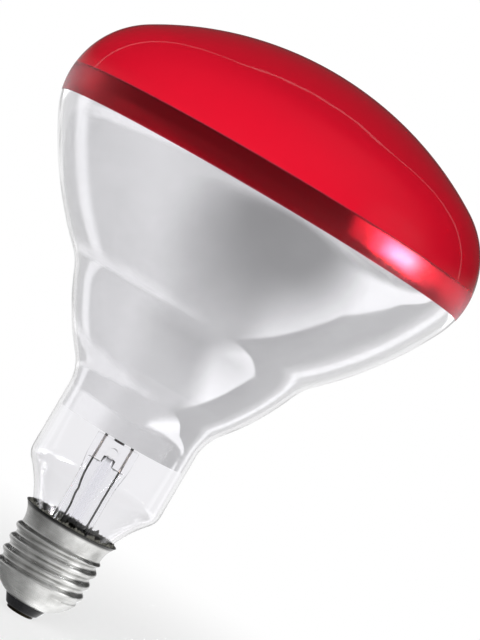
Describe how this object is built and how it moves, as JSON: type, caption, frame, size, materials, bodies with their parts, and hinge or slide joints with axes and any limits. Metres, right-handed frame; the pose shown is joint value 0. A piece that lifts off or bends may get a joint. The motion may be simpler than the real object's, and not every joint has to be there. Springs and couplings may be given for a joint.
{
  "type": "infrared heat lamp bulb",
  "caption": "Bulged reflector lamp of blown glass with a red dome, a mirrored bowl, a clear neck and an Edison screw cap, for radiant heating.",
  "frame": {"origin": "middle of the centre contact's face, at the foot of the screw cap", "axes": "+Z along the lamp's axis from the cap to the dome, +X towards the right-hand seal wire of the stem"},
  "size_m": [0.1263, 0.1262, 0.1711],
  "materials": {
    "clear_glass": "polished",
    "mirror_film": "polished",
    "red_lacquer": "gloss",
    "cap_metal": "satin",
    "black_glass": "gloss",
    "contact_brass": "satin",
    "solder": "satin",
    "stem_glass": "polished",
    "lead_wire": "satin",
    "cement": "matte",
    "tungsten": "satin"
  },
  "bodies": {
    "root": {"glass_envelope": "clear_glass", "reflector_film": "mirror_film", "red_coat": "red_lacquer", "screw_shell": "cap_metal", "insulator": "black_glass", "centre_contact": "contact_brass", "centre_solder": "solder", "side_solder": "solder", "stem_flare": "stem_glass", "exhaust_tube": "stem_glass", "seal_wire_left": "lead_wire", "seal_wire_right": "lead_wire", "outer_lead_centre": "lead_wire", "outer_lead_side": "lead_wire", "basing_cement": "cement", "filament": "tungsten", "inner_lead_left": "lead_wire", "inner_lead_right": "lead_wire", "support_wire_1": "lead_wire", "support_wire_2": "lead_wire", "support_wire_3": "lead_wire", "support_wire_4": "lead_wire", "support_rod": "stem_glass"}
  },
  "joints": []
}
